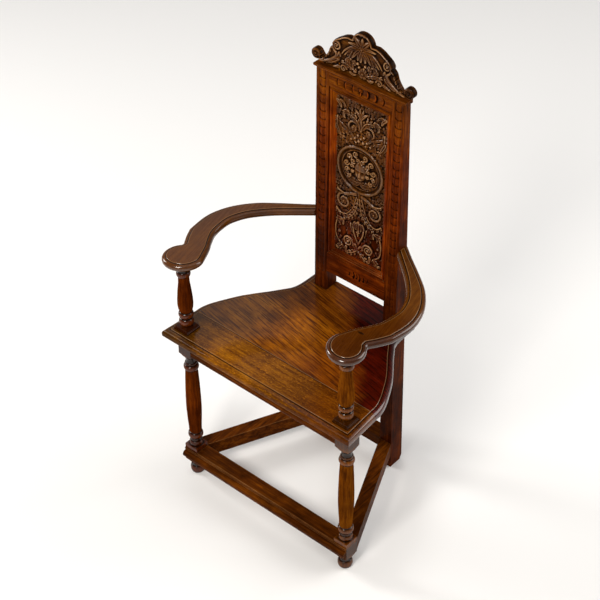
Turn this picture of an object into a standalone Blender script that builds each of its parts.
"""Carved oak elbow chair: a joined armchair with a tall panelled back, bowed arms and turned front legs.

Metres, +Z up. The chair faces -Y, and left is -X, as seen by someone who faces the chair.
The chair frame lies on the floor, on the middle line, under the front faces of the rear posts.
The back frame lies at seat height on those faces and leans back with the posts.
"""

from math import atan, cos, hypot, pi, radians, sin, tan

import bmesh
import bpy
from mathutils import Matrix, Vector

# Back: the two posts, the rails between them and the panel
BACK_WIDTH = 0.2352
BACK_THICKNESS = 0.0182
BACK_LEAN = 0.0068
POST_WIDTH = 0.0343
POST_ABOVE_SEAT = 0.578
POST_TOE = 0.0042
POST_HEEL = 0.0474
HEEL_CHAMFER_HEIGHT = 0.014
HEEL_CHAMFER_DEPTH = 0.0064
TOP_RAIL_HEIGHT = 0.035
BOTTOM_RAIL_HEIGHT = 0.052
BOTTOM_RAIL_ABOVE_SEAT = 0.053
PANEL_THICKNESS = 0.0055
PANEL_REAR_WALL = 0.0022
GROOVE_DEPTH = 0.006
PANEL_MOULDING_WIDTH = 0.0173
MEDALLION_MARGIN = 0.0028
MEDALLION_RELIEF = 0.0022
POST_CHANNEL_WIDTH = 0.019
POST_CHANNEL_DEPTH = 0.0009
POST_CHANNEL_LENGTH = 0.380

# Cornice and crest
CORNICE_WIDTH = 0.244
CORNICE_HEIGHT = 0.0078
CORNICE_OVERHANG = 0.006
CREST_WIDTH = 0.268
CREST_HEIGHT = 0.109
CREST_THICKNESS = 0.0155
CREST_ARCH_RADIUS = 0.026
CREST_EAR_RADIUS = 0.0125
DOWEL_RADIUS = 0.0035
DOWEL_LENGTH = 0.046
DOWEL_SPACING = 0.120

# Seat
SEAT_HEIGHT = 0.450
SEAT_THICKNESS = 0.024
SEAT_PROJECTION = 0.346
SEAT_FRONT_WIDTH = 0.542
SEAT_TAPER = 0.007
SEAT_REAR_MARGIN = 0.0274
FRONT_BOARD_DEPTH = 0.097
SEAT_MOULDING_WIDTH = 0.0135
SEAT_RAIL_HEIGHT = 0.046
SEAT_RAIL_THICKNESS = 0.022

# Front legs
LEG_SQUARE = 0.037
LEG_SIDE_INSET = 0.041
LEG_FRONT_INSET = 0.0451
UPPER_BLOCK_HEIGHT = 0.050
LOWER_BLOCK_HEIGHT = 0.049
FOOT_HEIGHT = 0.040
FOOT_RADIUS = 0.0173

# Stretchers
STRETCHER_HEIGHT = 0.0377
SIDE_STRETCHER_WIDTH = 0.034
REAR_STRETCHER_HEIGHT = 0.0297
REAR_STRETCHER_THICKNESS = 0.040
STRETCHER_MOULDING_PROJECTION = 0.011

# Arms and their supports
ARM_HEIGHT = 0.209
ARM_THICKNESS = 0.018
ARM_BOW = 0.0632
ARM_MOULDING_WIDTH = 0.010
ARM_BUTT_LIP = 0.0063
ARM_BUTT_TAIL = 0.0016
PADDLE_LONG_RADIUS = 0.0465
PADDLE_SHORT_RADIUS = 0.0415
PADDLE_TURN = radians(135)
PADDLE_INWARD = 0.0022
PADDLE_FORWARD = 0.0048
SUPPORT_FORWARD = 0.0054
PLINTH_SQUARE = 0.041
PLINTH_TIER_HEIGHT = 0.005
SUPPORT_RADIUS = 0.0182

# Mouldings and joints
TABLE_RISE = 0.0015
CLEARANCE = 0.0003
TENON_SHOULDER = 0.004
TENON_ROOT = 0.003
OVERRUN = 0.002
TURNING_STEPS = 16
WELD_DISTANCE = 0.00001
FLAT_ANGLE = radians(0.01)
MITRE_TURN = 0.0001

# Tenons as shares of the piece they enter
TENON_LENGTH_SHARE = 0.36
TENON_THICKNESS_SHARE = 0.27
CROSS_TENON_THICKNESS_SHARE = 0.20
LEG_CROSS_TENON_PLACE_SHARE = 0.30
POST_CROSS_TENON_PLACE_SHARE = 0.66
ROUND_TENON_SHARE = 0.43

# Turned part of a front leg: places down its length, radii of half its square
LEG_NECK_SHARES = (0.080, 0.645)
LEG_UPPER_FILLET_SHARES = (0.092, 0.113, 0.66, 0.78)
LEG_UPPER_RING_SHARES = (0.117, 0.170, 0.68, 0.965)
LEG_SHAFT_SHARES = (
    (0.173, 0.770),
    (0.205, 0.811),
    (0.264, 0.860),
    (0.334, 0.903),
    (0.473, 0.962),
    (0.560, 0.973),
    (0.613, 0.966),
    (0.700, 0.912),
    (0.787, 0.838),
    (0.854, 0.800),
)
LEG_LOWER_RING_SHARES = (0.859, 0.914, 0.70, 0.973)
LEG_LOWER_BEAD_SHARES = (0.920, 0.951, 0.66, 0.745)
LEG_BASE_BEAD_SHARES = (0.951, 0.997, 0.730, 0.865)
FOOT_NECK_SHARES = (0.425, 0.730)
FOOT_BUN_SHARES = (0.475, 0.64)

# Turned part of an arm support: places up its length, radii of its largest one
SUPPORT_FILLET_SHARE = 0.80
SUPPORT_BASE_SHARES = (0.020, 0.127, 0.64, 0.935)
SUPPORT_NECK_SHARES = (0.134, 0.610)
SUPPORT_RING_SHARES = (0.142, 0.229, 0.66, 0.945)
SUPPORT_VASE_SHARES = (
    (0.236, 0.780),
    (0.276, 0.896),
    (0.326, 0.967),
    (0.370, 0.978),
    (0.442, 0.945),
    (0.553, 0.852),
    (0.664, 0.725),
    (0.730, 0.692),
    (0.776, 0.700),
)
SUPPORT_COLLAR_SHARES = (0.782, 0.860, 0.70, 0.885)
SUPPORT_TOP_SHARES = (0.880, 0.687)

# Half outline of the crest from its arch down to its ear: across its half width, up its height
CREST_SHOULDER_SHARES = (
    (0.281, 0.813),
    (0.366, 0.776),
    (0.451, 0.712),
    (0.537, 0.639),
    (0.581, 0.556),
)
CREST_LEAF_SHARES = (
    (0.575, 0.497),
    (0.627, 0.437),
    (0.664, 0.314),
    (0.716, 0.217),
    (0.769, 0.137),
)
CREST_ARCH_FOOT_SHARE = 0.776
CREST_FOOT_SHARES = (0.78, 0.046)
CREST_EAR_PLACE_SHARE = 0.170

# Nose of the rear seat board: from its narrow rear to its seam, and from its seam back to its rear edge
SEAT_CURVE_SHARES = (
    (1.0, 0.0),
    (0.983, 0.084),
    (0.899, 0.185),
    (0.681, 0.359),
    (0.504, 0.468),
    (0.319, 0.569),
    (0.168, 0.659),
    (0.059, 0.729),
    (0.012, 0.820),
    (0.0, 1.0),
)

# Arm: from the post out to the bow, and from its butt forward to the paddle
ARM_OUTER_SHARES = (
    (0.0, 0.0),
    (0.190, 0.076),
    (0.440, 0.170),
    (0.694, 0.276),
    (0.879, 0.399),
    (0.975, 0.518),
    (1.0, 0.622),
    (0.971, 0.753),
    (0.945, 0.790),
    (0.890, 0.844),
    (0.812, 0.906),
)
ARM_INNER_SHARES = (
    (0.493, 0.835),
    (0.573, 0.771),
    (0.654, 0.689),
    (0.689, 0.577),
    (0.670, 0.498),
    (0.579, 0.399),
    (0.363, 0.273),
    (0.0, 0.115),
)
PADDLE_START = radians(41)
PADDLE_END = radians(-208)
PADDLE_STEPS = 20

DARK_OAK = (0.060, 0.026, 0.015)
BROWN_OAK = (0.110, 0.050, 0.024)
WARM_OAK = (0.190, 0.092, 0.038)

# Lines that several pieces share
RAKE = atan(BACK_LEAN / POST_ABOVE_SEAT)
POST_INNER = BACK_WIDTH / 2 - POST_WIDTH
POST_CENTRE = BACK_WIDTH / 2 - POST_WIDTH / 2
LEG_X = SEAT_FRONT_WIDTH / 2 - LEG_SIDE_INSET
LEG_Y = LEG_FRONT_INSET - SEAT_PROJECTION
LEG_FRONT = LEG_Y - LEG_SQUARE / 2
LEG_REAR = LEG_Y + LEG_SQUARE / 2
LEG_INNER = LEG_X - LEG_SQUARE / 2
PADDLE_X = LEG_X - PADDLE_INWARD
PADDLE_Y = LEG_Y - PADDLE_FORWARD
PADDLE_REACH = hypot(PADDLE_LONG_RADIUS * sin(PADDLE_TURN), PADDLE_SHORT_RADIUS * cos(PADDLE_TURN))
SUPPORT_Y = LEG_Y - SUPPORT_FORWARD
SEAT_UNDERSIDE = SEAT_HEIGHT - SEAT_THICKNESS
SEAM_Y = FRONT_BOARD_DEPTH - SEAT_PROJECTION
ARM_TOP = SEAT_HEIGHT + ARM_HEIGHT
ARM_UNDERSIDE = ARM_TOP - ARM_THICKNESS
RAIL_TOP = SEAT_UNDERSIDE - CLEARANCE
RAIL_BOTTOM = RAIL_TOP - SEAT_RAIL_HEIGHT
STRETCHER_BOTTOM = FOOT_HEIGHT + CLEARANCE
STRETCHER_TOP = STRETCHER_BOTTOM + STRETCHER_HEIGHT
REAR_STRETCHER_BOTTOM = STRETCHER_TOP - REAR_STRETCHER_HEIGHT
BOTTOM_RAIL_TOP = BOTTOM_RAIL_ABOVE_SEAT + BOTTOM_RAIL_HEIGHT
TOP_RAIL_BOTTOM = POST_ABOVE_SEAT - TOP_RAIL_HEIGHT
PANEL_BACK = BACK_THICKNESS - PANEL_REAR_WALL - CLEARANCE
PANEL_FRONT = PANEL_BACK - PANEL_THICKNESS
CORNICE_BOTTOM = POST_ABOVE_SEAT + CLEARANCE
CORNICE_TOP = CORNICE_BOTTOM + CORNICE_HEIGHT
CREST_BOTTOM = CORNICE_TOP + CLEARANCE
DOWEL_MIDDLE = CORNICE_TOP - CORNICE_HEIGHT / 2
ROUND_TENON_RADIUS = ROUND_TENON_SHARE * LEG_SQUARE / 2
SUPPORT_TENON_DEPTH = TENON_LENGTH_SHARE * LEG_SQUARE

SIDES = ((-1, "left"), (1, "right"))


def post_front(height):
    """How far back the front face of a rear post lies at a height over the floor."""
    if height < SEAT_HEIGHT:
        return POST_TOE * (1 - height / SEAT_HEIGHT)
    return (height - SEAT_HEIGHT) * tan(RAKE)


def post_top(depth):
    """The chair-frame place, as (y, z), of a point on the top of a post, behind its front face."""
    y = depth * cos(RAKE) + POST_ABOVE_SEAT * sin(RAKE)
    z = SEAT_HEIGHT + POST_ABOVE_SEAT * cos(RAKE) - depth * sin(RAKE)
    return y, z


def post_rear(height):
    """How far back the straight rear face of a rear post lies at a height over the floor."""
    top_y, top_z = post_top(BACK_THICKNESS)
    share = (height - HEEL_CHAMFER_HEIGHT) / (top_z - HEEL_CHAMFER_HEIGHT)
    return POST_HEEL + (top_y - POST_HEEL) * share


def arc(centre, radii, start, end, steps):
    """Points of an elliptical arc between two angles in degrees."""
    angles = [radians(start + (end - start) * step / steps) for step in range(steps + 1)]
    return [(centre[0] + radii[0] * cos(angle), centre[1] + radii[1] * sin(angle)) for angle in angles]


def smooth_run(points, steps):
    """Points of a smooth curve through the given ones."""
    ends = [points[0], *points, points[-1]]
    run = []
    for before, start, end, after in zip(ends, ends[1:], ends[2:], ends[3:]):
        for step in range(steps):
            t = step / steps
            run.append(tuple(
                (2 * b + (c - a) * t + (2 * a - 5 * b + 4 * c - d) * t**2 + (3 * b - a - 3 * c + d) * t**3) / 2
                for a, b, c, d in zip(before, start, end, after)
            ))
    run.append(points[-1])
    return run


def bead(outer, inner, start, end, steps=4):
    """Profile points of a half-round: radius inner at both ends, outer in the middle."""
    centre = (inner, (start + end) / 2)
    return arc(centre, (outer - inner, (start - end) / 2), 90, -90, steps)


def inset(outline, distances):
    """An outline that runs anticlockwise, with each edge moved inwards by its own distance."""
    moved = []
    count = len(outline)
    for index in range(count):
        before, here, after = (Vector(outline[place % count]) for place in (index - 1, index, index + 1))
        into, out = (here - before).normalized(), (after - here).normalized()
        reach_in, reach_out = distances[index - 1], distances[index]
        turn = into.x * out.y - into.y * out.x
        normal = Vector((-into.y, into.x))
        if abs(turn) < MITRE_TURN:
            moved.append(tuple(here + normal * reach_in))
            continue
        slide = (reach_in * (into.x * out.x + into.y * out.y) - reach_out) / turn
        moved.append(tuple(here + normal * reach_in + into * slide))
    return moved


def new_mesh(name, shape):
    """A mesh from a bmesh, with its faces pointing out and round stretches shaded smooth."""
    bmesh.ops.recalc_face_normals(shape, faces=shape.faces)
    mesh = bpy.data.meshes.new(name)
    shape.to_mesh(mesh)
    shape.free()
    mesh.shade_smooth()
    mesh.set_sharp_from_angle(angle=radians(30))
    return mesh


def block_mesh(name, spans):
    """Boxes in one mesh, each given by its spans along X, Y and Z."""
    shape = bmesh.new()
    for span in spans:
        size = [abs(high - low) for low, high in span]
        centre = [(low + high) / 2 for low, high in span]
        bmesh.ops.create_cube(shape, size=1, matrix=Matrix.Translation(centre) @ Matrix.Diagonal((*size, 1)))
    return new_mesh(name, shape)


def rod_mesh(name, places, radius, low, high):
    """Upright cylinders in one mesh, at the given (x, y) places."""
    shape = bmesh.new()
    for x, y in places:
        bmesh.ops.create_cone(
            shape,
            cap_ends=True,
            segments=TURNING_STEPS,
            radius1=radius,
            radius2=radius,
            depth=high - low,
            matrix=Matrix.Translation((x, y, (low + high) / 2)),
        )
    return new_mesh(name, shape)


def baked_mesh(obj, name):
    """The mesh that an object evaluates to, with the object itself removed."""
    holder = bpy.context.scene.collection
    holder.objects.link(obj)
    graph = bpy.context.evaluated_depsgraph_get()
    mesh = bpy.data.meshes.new_from_object(obj.evaluated_get(graph))
    bpy.data.objects.remove(obj)
    mesh.name = name
    return mesh


def outline_mesh(name, outline, thickness):
    """A flat outline in X and Y, filled, with a thickness along Z that is centred on it."""
    curve = bpy.data.curves.new(name, "CURVE")
    curve.dimensions = "2D"
    curve.fill_mode = "BOTH"
    curve.extrude = thickness / 2
    spline = curve.splines.new("POLY")
    spline.points.add(len(outline) - 1)
    for point, (x, y) in zip(spline.points, outline):
        point.co = (x, y, 0, 1)
    spline.use_cyclic_u = True
    filled = baked_mesh(bpy.data.objects.new(name, curve), name)
    shape = bmesh.new()
    shape.from_mesh(filled)
    bpy.data.meshes.remove(filled)
    bpy.data.curves.remove(curve)
    bmesh.ops.remove_doubles(shape, verts=shape.verts, dist=WELD_DISTANCE)
    flat = [edge for edge in shape.edges if edge.calc_face_angle(pi) < FLAT_ANGLE]
    bmesh.ops.dissolve_edges(shape, edges=flat, use_verts=False)
    return new_mesh(name, shape)


def turned_mesh(name, profile, steps=TURNING_STEPS):
    """A turned solid about Z, from (radius, height) points that run from its top to its bottom."""
    wire = bpy.data.meshes.new(name)
    wire.from_pydata([(radius, 0, height) for radius, height in profile], [], [])
    wire.edges.add(len(profile) - 1)
    for index, edge in enumerate(wire.edges):
        edge.vertices = (index, index + 1)
    holder = bpy.data.objects.new(name, wire)
    screw = holder.modifiers.new("turning", "SCREW")
    screw.steps = steps
    screw.render_steps = steps
    screw.use_merge_vertices = True
    screw.merge_threshold = WELD_DISTANCE
    solid = baked_mesh(holder, name)
    bpy.data.meshes.remove(wire)
    shape = bmesh.new()
    shape.from_mesh(solid)
    bpy.data.meshes.remove(solid)
    return new_mesh(name, shape)


def oak(name, colour):
    """The polished oak of one piece."""
    material = bpy.data.materials.new(name)
    material.use_nodes = True
    surface = material.node_tree.nodes["Principled BSDF"]
    surface.inputs["Base Color"].default_value = (*colour, 1)
    surface.inputs["Roughness"].default_value = POLISHED_ROUGHNESS
    surface.inputs["Metallic"].default_value = 0
    return material


POLISHED_ROUGHNESS = 0.38


class Joiner:
    """Puts the chair's pieces, and the cutters that shape them, into their collections and frames."""

    def __init__(self):
        self.pieces = bpy.data.collections.new("carved_oak_elbow_chair")
        self.cutters = bpy.data.collections.new("cutters")
        for collection in (self.pieces, self.cutters):
            bpy.context.scene.collection.children.link(collection)
        front = PADDLE_Y - PADDLE_REACH
        self.chair = self.frame("chair_frame", None, (0, -(front + POST_HEEL) / 2, 0), 0)
        self.back = self.frame("back_frame", self.chair, (0, 0, SEAT_HEIGHT), -RAKE)

    def frame(self, name, parent, place, lean):
        """An empty that carries pieces."""
        empty = bpy.data.objects.new(name, None)
        empty.parent = parent
        empty.location = place
        empty.rotation_euler = (lean, 0, 0)
        self.pieces.objects.link(empty)
        return empty

    def piece(self, name, mesh, frame, colour, place=(0, 0, 0), turn=(0, 0, 0)):
        """A node of the chair, with its own material."""
        obj = bpy.data.objects.new(name, mesh)
        obj.parent = frame
        obj.location = place
        obj.rotation_euler = turn
        obj.data.materials.append(oak(name, colour))
        self.pieces.objects.link(obj)
        return obj

    def shape(self, piece, operation, mesh, frame=None, place=(0, 0, 0), turn=(0, 0, 0)):
        """Cuts, joins or intersects a piece with a helper solid."""
        helper = bpy.data.objects.new(mesh.name, mesh)
        helper.parent = frame or piece.parent
        helper.location = place
        helper.rotation_euler = turn
        helper.hide_render = True
        helper.display_type = "WIRE"
        self.cutters.objects.link(helper)
        step = piece.modifiers.new(mesh.name, "BOOLEAN")
        step.operation = operation
        step.solver = "EXACT"
        step.object = helper


# Turns that stand a flat outline up: across the chair, or along its middle plane
ACROSS = (pi / 2, 0, 0)
ALONG = (pi / 2, 0, pi / 2)


def grown(span, amount=CLEARANCE):
    """A box's spans with every side moved out."""
    return [(min(low, high) - amount, max(low, high) + amount) for low, high in span]


def mirrored(side, span):
    """A box's spans on the given side of the chair, from those on its right."""
    across, along, up = span
    return ((side * across[0], side * across[1]), along, up)


def both_sides(span):
    """The spans of a box and of its mirror image."""
    return [mirrored(side, span) for side, _ in SIDES]


def side_line(y):
    """The middle line of the side rails and stretchers, which run from a leg's rear to a post."""
    start, end = LEG_REAR + CLEARANCE, post_front(STRETCHER_TOP) - CLEARANCE
    return LEG_X + (POST_CENTRE - LEG_X) * (y - start) / (end - start)


def tenon_run(low, high, cross):
    """A tenon's height on a rail, clear of the round tenon above it where it meets a leg's block."""
    top = high - TENON_SHOULDER
    if cross:
        top = min(top, SEAT_UNDERSIDE - SUPPORT_TENON_DEPTH - TENON_SHOULDER)
    return low + TENON_SHOULDER, top


def leg_side_tenon(low, high):
    """The tenon of a side rail or stretcher in a leg, entering from behind."""
    half = TENON_THICKNESS_SHARE * LEG_SQUARE / 2
    length = TENON_LENGTH_SHARE * LEG_SQUARE
    return ((LEG_X - half, LEG_X + half), (LEG_REAR - length, LEG_REAR + TENON_ROOT), tenon_run(low, high, True))


def leg_cross_tenon(low, high):
    """The tenon of a front rail or stretcher in a leg, entering from its inner side."""
    half = CROSS_TENON_THICKNESS_SHARE * LEG_SQUARE / 2
    length = TENON_LENGTH_SHARE * LEG_SQUARE
    middle = LEG_FRONT + LEG_CROSS_TENON_PLACE_SHARE * LEG_SQUARE
    return (
        (LEG_INNER - TENON_ROOT, LEG_INNER + length),
        (middle - half, middle + half),
        tenon_run(low, high, True),
    )


def post_side_tenon(low, high):
    """The tenon of a side rail or stretcher in a post, entering from the front."""
    face = post_front(high)
    half = TENON_THICKNESS_SHARE * POST_WIDTH / 2
    length = TENON_LENGTH_SHARE * (post_rear(high) - face)
    return ((POST_CENTRE - half, POST_CENTRE + half), (face - TENON_ROOT, face + length), tenon_run(low, high, True))


def post_cross_middle(low, high):
    """How far back the rear rail and the rear stretcher meet the posts."""
    height = (low + high) / 2
    depth = post_rear(height) - post_front(height)
    return post_front(height) + POST_CROSS_TENON_PLACE_SHARE * depth


def post_cross_tenon(low, high):
    """The tenon of the rear rail or stretcher in a post, entering from its inner side."""
    half = CROSS_TENON_THICKNESS_SHARE * (post_rear(high) - post_front(high)) / 2
    length = TENON_LENGTH_SHARE * POST_WIDTH
    middle = post_cross_middle(low, high)
    return (
        (POST_INNER - TENON_ROOT, POST_INNER + length),
        (middle - half, middle + half),
        tenon_run(low, high, False),
    )


def back_tenon(low, high):
    """The tenon of a back rail in a post, in the back frame, clear of the panel's groove."""
    half = TENON_THICKNESS_SHARE * BACK_THICKNESS / 2
    length = TENON_LENGTH_SHARE * POST_WIDTH
    margin = GROOVE_DEPTH + TENON_SHOULDER
    return (
        (POST_INNER - TENON_ROOT, POST_INNER + length),
        (BACK_THICKNESS / 2 - half, BACK_THICKNESS / 2 + half),
        (low + margin, high - margin),
    )


def arm_tenon():
    """The tenon of an arm in a post's outer side."""
    face = BACK_WIDTH / 2
    length = TENON_LENGTH_SHARE * POST_WIDTH
    middle = (post_front(ARM_TOP) + post_rear(ARM_TOP)) / 2
    half = TENON_THICKNESS_SHARE * (post_rear(ARM_TOP) - post_front(ARM_TOP)) / 2
    return (
        (face - length, face + TENON_ROOT),
        (middle - half, middle + half),
        (ARM_UNDERSIDE + TENON_SHOULDER, ARM_TOP - TABLE_RISE - TENON_SHOULDER),
    )


def rear_posts(chair):
    """One length each from the floor to the cornice, with mortises, panel groove and sunk carved channel."""
    top_front, top_rear = post_top(0), post_top(BACK_THICKNESS)
    heel = (POST_HEEL - HEEL_CHAMFER_DEPTH, 0)
    outline = [(POST_TOE, 0), heel, (POST_HEEL, HEEL_CHAMFER_HEIGHT), top_rear, top_front, (0, SEAT_HEIGHT)]
    low_mortises = [
        post_side_tenon(RAIL_BOTTOM, RAIL_TOP),
        post_side_tenon(STRETCHER_BOTTOM, STRETCHER_TOP),
        post_cross_tenon(RAIL_BOTTOM, RAIL_TOP),
        post_cross_tenon(REAR_STRETCHER_BOTTOM, STRETCHER_TOP),
        arm_tenon(),
    ]
    groove = (
        (POST_INNER - GROOVE_DEPTH, POST_INNER + GROOVE_DEPTH),
        (PANEL_FRONT, PANEL_BACK),
        (BOTTOM_RAIL_TOP - GROOVE_DEPTH, TOP_RAIL_BOTTOM + GROOVE_DEPTH),
    )
    channel_top = POST_ABOVE_SEAT - TENON_SHOULDER
    channel = (
        (POST_CENTRE - POST_CHANNEL_WIDTH / 2, POST_CENTRE + POST_CHANNEL_WIDTH / 2),
        (-POST_CHANNEL_DEPTH, POST_CHANNEL_DEPTH),
        (channel_top - POST_CHANNEL_LENGTH, channel_top),
    )
    back_mortises = [
        grown(back_tenon(BOTTOM_RAIL_ABOVE_SEAT, BOTTOM_RAIL_TOP)),
        grown(back_tenon(TOP_RAIL_BOTTOM, POST_ABOVE_SEAT)),
        grown(groove),
        channel,
    ]
    for side, word in SIDES:
        mesh = outline_mesh(f"rear_post_{word}", outline, POST_WIDTH)
        post = chair.piece(f"rear_post_{word}", mesh, chair.chair, DARK_OAK, (side * POST_CENTRE, 0, 0), ALONG)
        for index, span in enumerate(low_mortises):
            cut = block_mesh(f"post_mortise_{word}_{index}", [mirrored(side, grown(span))])
            chair.shape(post, "DIFFERENCE", cut)
        for index, span in enumerate(back_mortises):
            cut = block_mesh(f"back_mortise_{word}_{index}", [mirrored(side, span)])
            chair.shape(post, "DIFFERENCE", cut, chair.back)


def back_rail(chair, name, low, high, groove_low, groove_high):
    """A rail between the posts, with a tenon at each end and a groove for the panel."""
    reach = POST_INNER - CLEARANCE
    body = [((-reach, reach), (0, BACK_THICKNESS), (low, high))]
    rail = chair.piece(name, block_mesh(name, body), chair.back, DARK_OAK)
    chair.shape(rail, "UNION", block_mesh(f"{name}_tenons", both_sides(back_tenon(low, high))))
    groove = ((-POST_INNER, POST_INNER), (PANEL_FRONT, PANEL_BACK), (groove_low, groove_high))
    chair.shape(rail, "DIFFERENCE", block_mesh(f"{name}_groove", [grown(groove)]))
    return rail


def back_rails(chair):
    """The carved top rail and the bottom rail."""
    low = BOTTOM_RAIL_ABOVE_SEAT
    deep, high = BOTTOM_RAIL_TOP - GROOVE_DEPTH, BOTTOM_RAIL_TOP + GROOVE_DEPTH
    back_rail(chair, "back_bottom_rail", low, BOTTOM_RAIL_TOP, deep, high)
    low, deep = TOP_RAIL_BOTTOM - GROOVE_DEPTH, TOP_RAIL_BOTTOM + GROOVE_DEPTH
    rail = back_rail(chair, "back_top_rail", TOP_RAIL_BOTTOM, POST_ABOVE_SEAT, low, deep)
    chair.shape(rail, "DIFFERENCE", dowel_holes("top_rail_dowel_holes"))


def medallion_mesh():
    """The raised oval frame of the panel, turned as a round and then drawn in to an oval, about -Y."""
    radius = POST_INNER - PANEL_MOULDING_WIDTH - MEDALLION_MARGIN
    root = -PANEL_THICKNESS / 2
    outline = [(0, MEDALLION_FLOOR_SHARE * MEDALLION_RELIEF)]
    for across, up in MEDALLION_RIM_SHARES:
        outline.append((across * radius, up * MEDALLION_RELIEF))
    outline.append((radius, root))
    outline.append((0, root))
    mesh = turned_mesh("panel_medallion", outline, 2 * TURNING_STEPS)
    mesh.transform(Matrix.Diagonal((1, MEDALLION_ROUND_SHARE, 1, 1)))
    return mesh


MEDALLION_FLOOR_SHARE = 0.30
MEDALLION_ROUND_SHARE = 0.946
MEDALLION_PLACE_SHARE = 0.59
MEDALLION_RIM_SHARES = (
    (0.770, 0.20),
    (0.790, 0.55),
    (0.820, 0.70),
    (0.850, 0.50),
    (0.890, 0.75),
    (0.930, 1.00),
    (0.970, 0.80),
    (1.000, 0.30),
)


def panel(chair):
    """The panel, held in the grooves of posts and rails, with its raised oval frame."""
    tongue = GROOVE_DEPTH - CLEARANCE
    reach = POST_INNER + tongue
    span = ((-reach, reach), (PANEL_FRONT, PANEL_BACK), (BOTTOM_RAIL_TOP - tongue, TOP_RAIL_BOTTOM + tongue))
    board = chair.piece("back_panel", block_mesh("back_panel", [span]), chair.back, BROWN_OAK)
    low = BOTTOM_RAIL_TOP + PANEL_MOULDING_WIDTH
    high = TOP_RAIL_BOTTOM - PANEL_MOULDING_WIDTH
    place = (0, PANEL_FRONT, low + MEDALLION_PLACE_SHARE * (high - low))
    chair.shape(board, "UNION", medallion_mesh(), place=place, turn=ACROSS)


# Section of the panel's mouldings: across their width from the frame inwards, and forward from the panel
STILE_MOULDING_SHARES = (
    (0.0, 0.0),
    (0.0, 0.66),
    (0.20, 0.66),
    (0.22, 0.88),
    (0.28, 0.98),
    (0.36, 1.0),
    (0.44, 0.96),
    (0.50, 0.86),
    (0.52, 0.70),
    (0.60, 0.62),
    (0.72, 0.44),
    (0.84, 0.22),
    (1.0, 0.12),
    (1.0, 0.0),
)
SILL_SHARES = (
    (0.0, 0.0),
    (0.0, 0.80),
    (0.06, 0.98),
    (0.16, 1.0),
    (0.26, 0.92),
    (0.30, 0.74),
    (0.38, 0.84),
    (0.48, 0.76),
    (0.52, 0.54),
    (0.60, 0.62),
    (0.70, 0.52),
    (0.74, 0.32),
    (0.84, 0.36),
    (0.94, 0.24),
    (1.0, 0.10),
    (1.0, 0.0),
)


def panel_moulding(chair, name, shares, length, place, turn):
    """A length of moulding with mitred ends. Its outer edge lies on local X, and its width runs along Y."""
    width = PANEL_MOULDING_WIDTH - CLEARANCE
    height = PANEL_FRONT - CLEARANCE
    mesh = outline_mesh(name, [(across * width, up * height) for across, up in shares], length)
    for vertex in mesh.vertices:
        across, up, along = vertex.co
        shorter = across * (1 if along < 0 else -1)
        vertex.co = (along + shorter, across, up)
    shape = bmesh.new()
    shape.from_mesh(mesh)
    bpy.data.meshes.remove(mesh)
    chair.piece(name, new_mesh(name, shape), chair.back, BROWN_OAK, place, turn)


def panel_mouldings(chair):
    """Four mitred lengths round the panel; the lowest is the reeded sill."""
    middle = (BOTTOM_RAIL_TOP + TOP_RAIL_BOTTOM) / 2
    depth = PANEL_FRONT - CLEARANCE
    wide = 2 * (POST_INNER - CLEARANCE)
    tall = TOP_RAIL_BOTTOM - BOTTOM_RAIL_TOP - 2 * CLEARANCE
    mitre = 2 * CLEARANCE
    lengths = (
        ("left", STILE_MOULDING_SHARES, tall, (-wide / 2, depth, middle), (pi / 2, pi / 2, 0)),
        ("right", STILE_MOULDING_SHARES, tall, (wide / 2, depth, middle), (pi / 2, -pi / 2, 0)),
        ("top", STILE_MOULDING_SHARES, wide, (0, depth, middle + tall / 2), (pi / 2, pi, 0)),
        ("sill", SILL_SHARES, wide, (0, depth, middle - tall / 2), (pi / 2, 0, 0)),
    )
    for word, shares, length, place, turn in lengths:
        panel_moulding(chair, f"panel_moulding_{word}", shares, length - mitre, place, turn)


def dowel_places():
    """Where the two dowels stand, in the back frame."""
    return [(side * DOWEL_SPACING / 2, CREST_THICKNESS / 2) for side, _ in SIDES]


def dowel_holes(name):
    """Holes for the dowels through the cornice and into the crest and the top rail."""
    reach = DOWEL_LENGTH / 2 + CLEARANCE
    return rod_mesh(name, dowel_places(), DOWEL_RADIUS + CLEARANCE, DOWEL_MIDDLE - reach, DOWEL_MIDDLE + reach)


def cornice(chair):
    """The moulded strip on top of the rail and the posts."""
    front = -CORNICE_OVERHANG
    fillet = CORNICE_TOP - CORNICE_FILLET_SHARE * CORNICE_HEIGHT
    ovolo = arc((0, fillet), (CORNICE_OVERHANG, fillet - CORNICE_BOTTOM), 180, 270, 6)
    section = [*ovolo, (BACK_THICKNESS, CORNICE_BOTTOM), (BACK_THICKNESS, CORNICE_TOP), (front, CORNICE_TOP)]
    strip = chair.piece("cornice", outline_mesh("cornice", section, CORNICE_WIDTH), chair.back, DARK_OAK, turn=ALONG)
    chair.shape(strip, "DIFFERENCE", dowel_holes("cornice_dowel_holes"))


CORNICE_FILLET_SHARE = 0.35


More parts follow.
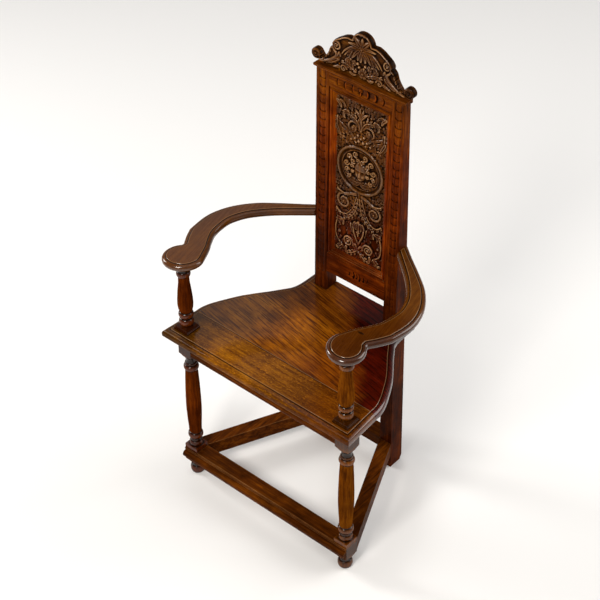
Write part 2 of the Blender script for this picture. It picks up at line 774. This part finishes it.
def crest_outline():
    """The crest's outline: an arch in the middle, two scrolled shoulders, and a round ear at each end."""
    half = CREST_WIDTH / 2
    arch_foot = CREST_ARCH_FOOT_SHARE * CREST_HEIGHT
    arch_rise = CREST_HEIGHT - arch_foot
    ear = (half - CREST_EAR_RADIUS, CREST_EAR_PLACE_SHARE * CREST_HEIGHT)
    arch = arc((0, arch_foot), (CREST_ARCH_RADIUS, arch_rise), 90, 8, 8)
    shoulder = smooth_run([(across * half, up * CREST_HEIGHT) for across, up in CREST_SHOULDER_SHARES], 3)
    leaf = smooth_run([(across * half, up * CREST_HEIGHT) for across, up in CREST_LEAF_SHARES], 3)
    curl = arc(ear, (CREST_EAR_RADIUS, CREST_EAR_RADIUS), 150, -110, 16)
    foot_across, foot_up = CREST_FOOT_SHARES
    foot = [(foot_across * half, foot_up * CREST_HEIGHT), (CREST_BASE_SHARE * half, 0)]
    right = [*arch, *shoulder, *leaf, *curl, *foot]
    left = [(-x, y) for x, y in reversed(right) if x > WELD_DISTANCE]
    return right + left


CREST_BASE_SHARE = 0.74


def crest(chair):
    """The cresting board, which stands on the cornice."""
    place = (0, CREST_THICKNESS / 2, CREST_BOTTOM)
    board = outline_mesh("crest", crest_outline(), CREST_THICKNESS)
    topping = chair.piece("crest", board, chair.back, DARK_OAK, place, ACROSS)
    chair.shape(topping, "DIFFERENCE", dowel_holes("crest_dowel_holes"))


def crest_dowels(chair):
    """Hidden dowels that hold the crest and the cornice to the top rail."""
    half = DOWEL_LENGTH / 2
    for (side, word), place in zip(SIDES, dowel_places()):
        mesh = rod_mesh(f"crest_dowel_{word}", [(0, 0)], DOWEL_RADIUS, -half, half)
        chair.piece(f"crest_dowel_{word}", mesh, chair.back, WARM_OAK, (*place, DOWEL_MIDDLE))


def round_nose(piece, plain, width, lower_share, segments):
    """Rounds a board's upper and lower outer edges, all but the plain ones that meet other pieces."""
    shape = bmesh.new()
    shape.from_mesh(piece.data)
    weights = shape.edges.layers.float.new("bevel_weight_edge")
    for edge in shape.edges:
        start, end = (vertex.co for vertex in edge.verts)
        if start.z * end.z < 0 or any(plain_line(start, end) for plain_line in plain):
            continue
        edge[weights] = 1 if start.z > 0 else lower_share
    shape.to_mesh(piece.data)
    shape.free()
    bevel = piece.modifiers.new("nose", "BEVEL")
    bevel.limit_method = "WEIGHT"
    bevel.width = width
    bevel.segments = segments
    bevel.use_clamp_overlap = False


def across_at(y):
    """A test that tells whether an edge lies on a line across the chair."""
    return lambda start, end: all(abs(point[1] - y) < WELD_DISTANCE for point in (start, end))


def along_at(x):
    """A test that tells whether an edge lies on a line from front to back, on either side."""
    return lambda start, end: all(abs(abs(point[0]) - x) < WELD_DISTANCE for point in (start, end))


def edge_distances(outline, plain, distance):
    """How far each edge of an outline moves inwards: not at all but by a hair where it is plain."""
    distances = []
    for start, end in zip(outline, outline[1:] + outline[:1]):
        is_plain = any(plain_line(start, end) for plain_line in plain)
        distances.append(CLEARANCE if is_plain else distance)
    return distances


def moulded_board(chair, name, outline, plain, sizes, colour):
    """A board whose upper face is a raised table inside a rounded nose."""
    top, thickness, moulding, upper_round, lower_share = sizes
    body = thickness - TABLE_RISE
    middle = top - TABLE_RISE - body / 2
    board = chair.piece(name, outline_mesh(name, outline, body), chair.chair, colour, (0, 0, middle))
    round_nose(board, plain, upper_round, lower_share, 4)
    table = inset(outline, edge_distances(outline, plain, moulding))
    mesh = outline_mesh(f"{name}_table", table, 2 * TABLE_RISE)
    chair.shape(board, "UNION", mesh, place=(0, 0, top - TABLE_RISE))
    return board


def seat_sizes():
    """Top, thickness, moulding width, upper rounding and its lower share, for both seat boards."""
    upper = SEAT_UPPER_ROUND_SHARE * SEAT_THICKNESS
    return (SEAT_HEIGHT, SEAT_THICKNESS, SEAT_MOULDING_WIDTH, upper, SEAT_LOWER_ROUND_SHARE)


SEAT_UPPER_ROUND_SHARE = 0.42
SEAT_LOWER_ROUND_SHARE = 0.75


def seat_front_board(chair):
    """The front board, moulded on its front and ends, with holes for the arm supports' tenons."""
    seam = SEAM_Y - CLEARANCE / 2
    wide, narrow = SEAT_FRONT_WIDTH / 2, SEAT_FRONT_WIDTH / 2 - SEAT_TAPER
    outline = [(-wide, -SEAT_PROJECTION), (wide, -SEAT_PROJECTION), (narrow, seam), (-narrow, seam)]
    board = moulded_board(chair, "seat_front_board", outline, [across_at(seam)], seat_sizes(), WARM_OAK)
    places = [(side * LEG_X, SUPPORT_Y) for side, _ in SIDES]
    low, high = SEAT_UNDERSIDE - OVERRUN, SEAT_HEIGHT + OVERRUN
    holes = rod_mesh("seat_tenon_holes", places, ROUND_TENON_RADIUS + CLEARANCE, low, high)
    chair.shape(board, "DIFFERENCE", holes)


def seat_rear_board(chair):
    """The rear board, which narrows in a long curve and is notched round both posts."""
    seam, rear = SEAM_Y + CLEARANCE / 2, post_rear(SEAT_HEIGHT)
    narrow = BACK_WIDTH / 2 + SEAT_REAR_MARGIN
    spread = SEAT_FRONT_WIDTH / 2 - SEAT_TAPER - narrow
    controls = [(narrow + across * spread, seam + back * (rear - seam)) for across, back in SEAT_CURVE_SHARES]
    nose = smooth_run(controls, 2)
    outer, inner, front = BACK_WIDTH / 2 + CLEARANCE, POST_INNER - CLEARANCE, -CLEARANCE
    right = [*nose, (outer, rear), (outer, front), (inner, front), (inner, rear)]
    outline = right + [(-x, y) for x, y in reversed(right)]
    plain = [across_at(seam), across_at(rear), across_at(front), along_at(outer), along_at(inner)]
    moulded_board(chair, "seat_rear_board", outline, plain, seat_sizes(), WARM_OAK)


def front_seat_rail(chair):
    """The rail under the front of the seat, flush with the legs' blocks, with a bead along its lower edge."""
    low, high = RAIL_BOTTOM, RAIL_TOP
    quirk = low + RAIL_QUIRK_SHARE * SEAT_RAIL_HEIGHT
    depth = RAIL_QUIRK_DEPTH_SHARE * SEAT_RAIL_THICKNESS
    face, rear = LEG_FRONT, LEG_FRONT + SEAT_RAIL_THICKNESS
    roll = arc((face + depth, (low + quirk) / 2), (depth, (quirk - low) / 2), 90, 270, 8)
    lip = quirk + depth
    section = [(rear, low), (rear, high), (face, high), (face, lip), *roll]
    length = 2 * (LEG_INNER - CLEARANCE)
    mesh = outline_mesh("seat_rail_front", section, length)
    rail = chair.piece("seat_rail_front", mesh, chair.chair, DARK_OAK, turn=ALONG)
    tenons = block_mesh("front_rail_tenons", both_sides(leg_cross_tenon(low, high)))
    chair.shape(rail, "UNION", tenons)


RAIL_QUIRK_SHARE = 0.31
RAIL_QUIRK_DEPTH_SHARE = 0.12


def side_members(chair, name, width, low, high):
    """A rail or stretcher on each side, in plan a slanted piece with straight tenons at both ends."""
    start, end = LEG_REAR + CLEARANCE, post_front(high) - CLEARANCE
    half = width / 2
    for side, word in SIDES:
        edge = [(side_line(start) - half, start), (side_line(start) + half, start)]
        edge += [(side_line(end) + half, end), (side_line(end) - half, end)]
        outline = [(side * x, y) for x, y in edge]
        mesh = outline_mesh(f"{name}_{word}", outline, high - low)
        member = chair.piece(f"{name}_{word}", mesh, chair.chair, DARK_OAK, (0, 0, (low + high) / 2))
        spans = (leg_side_tenon(low, high), post_side_tenon(low, high))
        for place, span in zip(("front", "rear"), spans):
            tenon = block_mesh(f"{name}_{word}_{place}_tenon", [mirrored(side, span)])
            chair.shape(member, "UNION", tenon)


def rear_member(chair, name, middle, thickness, low, high):
    """A rail or stretcher between the rear posts, whose tenons lie behind those of the side members."""
    reach = POST_INNER - CLEARANCE
    span = ((-reach, reach), (middle - thickness / 2, middle + thickness / 2), (low, high))
    member = chair.piece(name, block_mesh(name, [span]), chair.chair, DARK_OAK)
    chair.shape(member, "UNION", block_mesh(f"{name}_tenons", both_sides(post_cross_tenon(low, high))))


def seat_frame(chair):
    """The four rails that carry the seat boards."""
    front_seat_rail(chair)
    side_members(chair, "seat_rail", SEAT_RAIL_THICKNESS, RAIL_BOTTOM, RAIL_TOP)
    middle = post_cross_middle(RAIL_BOTTOM, RAIL_TOP)
    rear_member(chair, "seat_rail_rear", middle, SEAT_RAIL_THICKNESS, RAIL_BOTTOM, RAIL_TOP)


def leg_profile():
    """Radii and heights of a front leg, top to bottom; its blocks are wider here than the square they leave."""
    corner = LEG_SQUARE * CORNER_SHARE
    half = LEG_SQUARE / 2
    top, shoulder = RAIL_TOP, RAIL_TOP - UPPER_BLOCK_HEIGHT
    block_top, block_bottom = FOOT_HEIGHT + LOWER_BLOCK_HEIGHT, FOOT_HEIGHT
    length = shoulder - block_top

    def down(share):
        return shoulder - share * length

    def rolled(shares):
        start, end, inner, outer = shares
        return bead(outer * half, inner * half, down(start), down(end))

    neck_place, neck = LEG_NECK_SHARES
    neck_height, neck_radius = down(neck_place), neck * half
    cove = arc((corner, neck_height), (corner - neck_radius, shoulder - neck_height), 90, 180, 5)
    shaft = smooth_run([(radius * half, down(place)) for place, radius in LEG_SHAFT_SHARES], 2)
    foot_neck_place, foot_neck = FOOT_NECK_SHARES
    bun_place, bun_base = FOOT_BUN_SHARES
    low_neck, low_radius = (1 - foot_neck_place) * FOOT_HEIGHT, foot_neck * half
    low_cove = arc((corner, low_neck), (corner - low_radius, block_bottom - low_neck), 90, 180, 5)
    bun_top = (1 - bun_place) * FOOT_HEIGHT
    bun = arc((low_radius, bun_top / 2), (FOOT_RADIUS - low_radius, bun_top / 2), 90, -70, 6)
    return [
        (0, top),
        (corner, top),
        *cove,
        *rolled(LEG_UPPER_FILLET_SHARES),
        *rolled(LEG_UPPER_RING_SHARES),
        *shaft,
        *rolled(LEG_LOWER_RING_SHARES),
        *rolled(LEG_LOWER_BEAD_SHARES)[:-1],
        *rolled(LEG_BASE_BEAD_SHARES),
        (LEG_BLOCK_SEAT_SHARE * half, block_top),
        (corner, block_top),
        *low_cove,
        *bun,
        (bun_base * FOOT_RADIUS, 0),
        (0, 0),
    ]


CORNER_SHARE = 0.74
LEG_BLOCK_SEAT_SHARE = 0.80


def front_legs(chair):
    """Legs turned from one square each, which keep two square blocks for the rails and stretchers."""
    half = LEG_SQUARE / 2
    mortises = [
        leg_side_tenon(RAIL_BOTTOM, RAIL_TOP),
        leg_cross_tenon(RAIL_BOTTOM, RAIL_TOP),
        leg_side_tenon(STRETCHER_BOTTOM, STRETCHER_TOP),
        leg_cross_tenon(STRETCHER_BOTTOM, STRETCHER_TOP),
    ]
    for side, word in SIDES:
        mesh = turned_mesh(f"front_leg_{word}", leg_profile())
        leg = chair.piece(f"front_leg_{word}", mesh, chair.chair, DARK_OAK, (side * LEG_X, LEG_Y, 0))
        square = ((LEG_INNER, LEG_INNER + 2 * half), (LEG_FRONT, LEG_REAR), (-OVERRUN, SEAT_HEIGHT))
        chair.shape(leg, "INTERSECT", block_mesh(f"leg_square_{word}", [mirrored(side, square)]))
        for index, span in enumerate(mortises):
            cut = block_mesh(f"leg_mortise_{word}_{index}", [mirrored(side, grown(span))])
            chair.shape(leg, "DIFFERENCE", cut)
        low, high = SEAT_UNDERSIDE - SUPPORT_TENON_DEPTH - CLEARANCE, SEAT_HEIGHT
        hole = rod_mesh(f"leg_socket_{word}", [(0, 0)], ROUND_TENON_RADIUS + CLEARANCE, low, high)
        chair.shape(leg, "DIFFERENCE", hole, place=(side * LEG_X, SUPPORT_Y, 0))


def stretchers(chair):
    """The box stretcher near the floor."""
    low, high = STRETCHER_BOTTOM, STRETCHER_TOP
    reach = LEG_INNER - CLEARANCE
    span = ((-reach, reach), (LEG_FRONT, LEG_REAR - CLEARANCE), (low, high))
    front = chair.piece("stretcher_front", block_mesh("stretcher_front", [span]), chair.chair, DARK_OAK)
    tenons = block_mesh("front_stretcher_tenons", both_sides(leg_cross_tenon(low, high)))
    chair.shape(front, "UNION", tenons)
    side_members(chair, "stretcher", SIDE_STRETCHER_WIDTH, low, high)
    middle = (post_front(high) + post_rear(high)) / 2
    rear_member(chair, "stretcher_rear", middle, REAR_STRETCHER_THICKNESS, REAR_STRETCHER_BOTTOM, high)


# Section of the front stretcher's moulding: forward of its back, and up its height
STRETCHER_MOULDING_SHARES = (
    (0.0, 0.03),
    (0.0, 1.0),
    (0.11, 1.0),
    (0.20, 0.975),
    (0.11, 0.945),
    (0.24, 0.930),
    (0.30, 0.895),
    (0.24, 0.860),
    (0.12, 0.845),
    (0.12, 0.790),
)
STRETCHER_ROLL_SHARES = (0.53, 0.24, 0.20)


def stretcher_moulding(chair):
    """The moulded strip across the front stretcher and the fronts of both leg blocks."""
    back = LEG_FRONT - CLEARANCE
    reach, height = STRETCHER_MOULDING_PROJECTION, STRETCHER_HEIGHT
    edge = [(back - forward * reach, STRETCHER_BOTTOM + up * height) for forward, up in STRETCHER_MOULDING_SHARES]
    middle, half, face = STRETCHER_ROLL_SHARES
    centre = (back - face * reach, STRETCHER_BOTTOM + middle * height)
    roll = arc(centre, (reach - face * reach, half * height), 90, 270, 10)
    lip = (back - face * reach, STRETCHER_BOTTOM + STRETCHER_MOULDING_SHARES[0][1] * height)
    mesh = outline_mesh("stretcher_front_moulding", [*edge, *roll, lip], 2 * (LEG_X + LEG_SQUARE / 2))
    chair.piece("stretcher_front_moulding", mesh, chair.chair, DARK_OAK, turn=ALONG)


def support_profile():
    """Radii and heights of an arm support with its tenons, top to bottom."""
    low = SEAT_HEIGHT + CLEARANCE + 2 * PLINTH_TIER_HEIGHT
    high = ARM_UNDERSIDE - CLEARANCE
    length = high - low

    def up(share):
        return low + share * length

    def rolled(shares):
        start, end, inner, outer = shares
        return bead(outer * SUPPORT_RADIUS, inner * SUPPORT_RADIUS, up(end), up(start))

    top_place, top_radius = SUPPORT_TOP_SHARES
    neck_place, neck_radius = SUPPORT_NECK_SHARES
    fillet = SUPPORT_FILLET_SHARE * SUPPORT_RADIUS
    vase = [(radius * SUPPORT_RADIUS, up(place)) for place, radius in reversed(SUPPORT_VASE_SHARES)]
    top_tenon = ARM_UNDERSIDE + ARM_SOCKET_SHARE * ARM_THICKNESS
    foot = SEAT_UNDERSIDE - SUPPORT_TENON_DEPTH
    return [
        (0, top_tenon),
        (ARM_TENON_SHARE * SUPPORT_RADIUS, top_tenon),
        (ARM_TENON_SHARE * SUPPORT_RADIUS, high),
        (top_radius * SUPPORT_RADIUS, high),
        (top_radius * SUPPORT_RADIUS, up(top_place)),
        *rolled(SUPPORT_COLLAR_SHARES),
        *smooth_run(vase, 2),
        *rolled(SUPPORT_RING_SHARES),
        (neck_radius * SUPPORT_RADIUS, up(neck_place)),
        *rolled(SUPPORT_BASE_SHARES),
        (fillet, up(SUPPORT_BASE_SHARES[0])),
        (fillet, low - PLINTH_TIER_HEIGHT / 2),
        (ROUND_TENON_RADIUS, low - PLINTH_TIER_HEIGHT / 2),
        (ROUND_TENON_RADIUS, foot),
        (0, foot),
    ]


ARM_SOCKET_SHARE = 0.60
ARM_TENON_SHARE = 0.42
PLINTH_UPPER_SHARE = 0.88


def arm_supports(chair):
    """Turned supports with a square stepped plinth, tenoned into the arm and through the seat into the leg."""
    low = SEAT_HEIGHT + CLEARANCE
    wide = PLINTH_SQUARE / 2
    narrow = PLINTH_UPPER_SHARE * wide
    lower = ((-wide, wide), (-wide, wide), (low, low + PLINTH_TIER_HEIGHT))
    upper_low = low + PLINTH_TIER_HEIGHT / 2
    upper = ((-narrow, narrow), (-narrow, narrow), (upper_low, low + 2 * PLINTH_TIER_HEIGHT))
    for side, word in SIDES:
        place = (side * LEG_X, SUPPORT_Y, 0)
        mesh = turned_mesh(f"arm_support_{word}", support_profile())
        support = chair.piece(f"arm_support_{word}", mesh, chair.chair, DARK_OAK, place)
        for tier, span in (("lower", lower), ("upper", upper)):
            chair.shape(support, "UNION", block_mesh(f"plinth_{tier}_{word}", [span]), place=place)


def paddle_points():
    """The oval end of the right arm, from its outer notch round the front to its inner side."""
    points = []
    for step in range(PADDLE_STEPS + 1):
        angle = PADDLE_START + (PADDLE_END - PADDLE_START) * step / PADDLE_STEPS
        turned = angle - PADDLE_TURN
        reach = 1 / hypot(cos(turned) / PADDLE_LONG_RADIUS, sin(turned) / PADDLE_SHORT_RADIUS)
        points.append((PADDLE_X + reach * cos(angle), PADDLE_Y + reach * sin(angle)))
    return points


def arm_outline():
    """The right arm seen from above: a bow from the post to an oval paddle."""
    face = BACK_WIDTH / 2 + CLEARANCE
    height = (ARM_TOP + ARM_UNDERSIDE) / 2
    butt = post_rear(height) + ARM_BUTT_TAIL
    bow = PADDLE_X + ARM_BOW - face
    run = butt - PADDLE_Y
    outer = [(face + across * bow, butt - forward * run) for across, forward in ARM_OUTER_SHARES]
    inner = [(face + across * bow, butt - forward * run) for across, forward in ARM_INNER_SHARES]
    inner[-1] = (face, post_front(height) - ARM_BUTT_LIP)
    paddle = paddle_points()
    clockwise = [*smooth_run(outer, 2), *paddle[:-1], *smooth_run([paddle[-1], *inner], 2)]
    return clockwise[::-1], face


def arms(chair):
    """Flat bowed arms with rounded edges, tenoned into the posts and set on the supports."""
    outline, face = arm_outline()
    upper = ARM_ROUND_SHARE * ARM_THICKNESS
    sizes = (ARM_TOP, ARM_THICKNESS, ARM_MOULDING_WIDTH, upper, 1)
    radius = ARM_TENON_SHARE * SUPPORT_RADIUS + CLEARANCE
    for side, word in SIDES:
        shown = outline if side > 0 else [(-x, y) for x, y in reversed(outline)]
        arm = moulded_board(chair, f"arm_{word}", shown, [along_at(face)], sizes, WARM_OAK)
        chair.shape(arm, "UNION", block_mesh(f"arm_tenon_{word}", [mirrored(side, arm_tenon())]))
        low, high = ARM_UNDERSIDE - OVERRUN, ARM_UNDERSIDE + ARM_SOCKET_SHARE * ARM_THICKNESS + CLEARANCE
        hole = rod_mesh(f"arm_socket_{word}", [(side * LEG_X, SUPPORT_Y)], radius, low, high)
        chair.shape(arm, "DIFFERENCE", hole)


ARM_ROUND_SHARE = 0.42


def main():
    for leftover in list(bpy.data.objects):
        bpy.data.objects.remove(leftover, do_unlink=True)
    chair = Joiner()
    rear_posts(chair)
    back_rails(chair)
    panel(chair)
    panel_mouldings(chair)
    cornice(chair)
    crest(chair)
    crest_dowels(chair)
    seat_front_board(chair)
    seat_rear_board(chair)
    seat_frame(chair)
    front_legs(chair)
    stretchers(chair)
    stretcher_moulding(chair)
    arm_supports(chair)
    arms(chair)


main()
